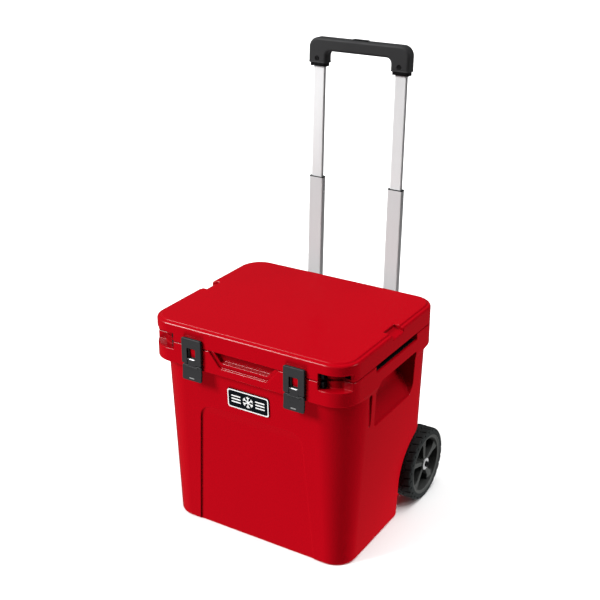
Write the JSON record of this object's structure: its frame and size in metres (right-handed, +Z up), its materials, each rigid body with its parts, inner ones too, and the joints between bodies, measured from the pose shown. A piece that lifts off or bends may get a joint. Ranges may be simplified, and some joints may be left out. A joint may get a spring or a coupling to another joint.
{
  "type": "wheeled cooler chest",
  "caption": "Insulated chest with a hinged latched lid, side carrying pockets, two rear wheels and a telescoping pull handle.",
  "frame": {"origin": "on the ground under the middle of the lid, on the flat underside of the body", "axes": "+Z up, front with the latches faces -Y, wheels and handle at +Y, +X to the right seen from the front"},
  "size_m": [0.488, 0.4926, 1.0142],
  "materials": {
    "red_moulding": "satin",
    "foam": "matte",
    "black_plastic": "matte",
    "latch_plastic": "matte",
    "grip_plastic": "matte",
    "badge_black": "satin",
    "rubber": "matte",
    "tyre": "matte",
    "rim_plastic": "matte",
    "bush_plastic": "matte",
    "steel": "brushed",
    "tube_aluminium": "brushed"
  },
  "bodies": {
    "chest": {"body_shell": "red_moulding", "body_foam": "foam", "badge": "badge_black", "front_feet": "rubber", "hinge_pin_left": "steel", "hinge_pin_right": "steel", "latch_base_left": "latch_plastic", "latch_base_right": "latch_plastic", "latch_screws": "steel", "lever_pin_left": "steel", "lever_pin_right": "steel", "axle": "steel", "axle_washers": "steel", "axle_bolts": "black_plastic", "upper_bracket_left": "black_plastic", "upper_bracket_right": "black_plastic", "lower_bracket_left": "black_plastic", "lower_bracket_right": "black_plastic", "bracket_screws": "steel", "outer_tube_left": "tube_aluminium", "outer_tube_right": "tube_aluminium", "outer_collar_left": "black_plastic", "outer_collar_right": "black_plastic"},
    "lid": {"lid_shell": "red_moulding", "lid_foam": "foam", "lid_gasket": "rubber"},
    "lever_left": {"latch_lever_left": "latch_plastic", "frame_pin_left": "steel"},
    "lever_right": {"latch_lever_right": "latch_plastic", "frame_pin_right": "steel"},
    "frame_left": {"latch_frame_left": "latch_plastic"},
    "frame_right": {"latch_frame_right": "latch_plastic"},
    "wheel_left": {"tyre_left": "tyre", "wheel_rim_left": "rim_plastic", "hub_bush_left": "bush_plastic"},
    "wheel_right": {"tyre_right": "tyre", "wheel_rim_right": "rim_plastic", "hub_bush_right": "bush_plastic"},
    "middle_stage": {"middle_tube_left": "tube_aluminium", "middle_tube_right": "tube_aluminium", "middle_collar_left": "black_plastic", "middle_collar_right": "black_plastic", "middle_glide_left": "black_plastic", "middle_glide_right": "black_plastic"},
    "upper_stage": {"upper_tube_left": "tube_aluminium", "upper_tube_right": "tube_aluminium", "upper_glide_left": "black_plastic", "upper_glide_right": "black_plastic", "grip_body": "grip_plastic", "grip_cap": "grip_plastic", "grip_screws": "steel", "button_springs": "steel"},
    "button": {"grip_button": "black_plastic", "release_bar": "bush_plastic", "release_rod_left": "steel", "release_rod_right": "steel"},
    "lock_left": {"lock_pin_left": "steel"},
    "lock_right": {"lock_pin_right": "steel"}
  },
  "joints": [
    {"name": "lid_hinge", "type": "hinge", "parent": "chest", "child": "lid", "pos_m": [0, 0.203, 0.459], "axis": [-1, 0, 0], "range_deg": [0, 90]},
    {"name": "lever_left_turn", "type": "hinge", "parent": "chest", "child": "lever_left", "pos_m": [-0.124, -0.2056, 0.42], "axis": [-1, 0, 0], "range_deg": [0, 100]},
    {"name": "frame_left_turn", "type": "hinge", "parent": "lever_left", "child": "frame_left", "pos_m": [-0.124, -0.2056, 0.413], "axis": [-1, 0, 0], "range_deg": [-120, 0]},
    {"name": "lever_right_turn", "type": "hinge", "parent": "chest", "child": "lever_right", "pos_m": [0.124, -0.2056, 0.42], "axis": [-1, 0, 0], "range_deg": [0, 100]},
    {"name": "frame_right_turn", "type": "hinge", "parent": "lever_right", "child": "frame_right", "pos_m": [0.124, -0.2056, 0.413], "axis": [-1, 0, 0], "range_deg": [-120, 0]},
    {"name": "wheel_left_spin", "type": "hinge", "parent": "chest", "child": "wheel_left", "pos_m": [-0.219, 0.181, 0.085], "axis": [1, 0, 0], "continuous": true},
    {"name": "wheel_right_spin", "type": "hinge", "parent": "chest", "child": "wheel_right", "pos_m": [0.219, 0.181, 0.085], "axis": [1, 0, 0], "continuous": true},
    {"name": "middle_slide", "type": "slide", "parent": "chest", "child": "middle_stage", "axis": [0, 0.0318, 0.9995], "range_m": [-0.245, 0]},
    {"name": "upper_slide", "type": "slide", "parent": "middle_stage", "child": "upper_stage", "axis": [0, 0.0318, 0.9995], "range_m": [-0.245, 0]},
    {"name": "button_press", "type": "slide", "parent": "upper_stage", "child": "button", "axis": [0, 0.0318, 0.9995], "range_m": [-0.004, 0], "stiffness_N_per_m": 500, "springref_m": 0.008, "deforming": ["button_springs"]},
    {"name": "lock_left_slide", "type": "slide", "parent": "upper_stage", "child": "lock_left", "axis": [-1, 0, 0], "range_m": [0, 0.003]},
    {"name": "lock_right_slide", "type": "slide", "parent": "upper_stage", "child": "lock_right", "axis": [1, 0, 0], "range_m": [0, 0.003]}
  ],
  "couplings": [
    {"joint": "frame_left_turn", "follows": "lever_left_turn", "ratio": -1.2},
    {"joint": "frame_right_turn", "follows": "lever_right_turn", "ratio": -1.2},
    {"joint": "lock_left_slide", "follows": "button_press", "ratio": -0.75},
    {"joint": "lock_right_slide", "follows": "button_press", "ratio": -0.75}
  ]
}
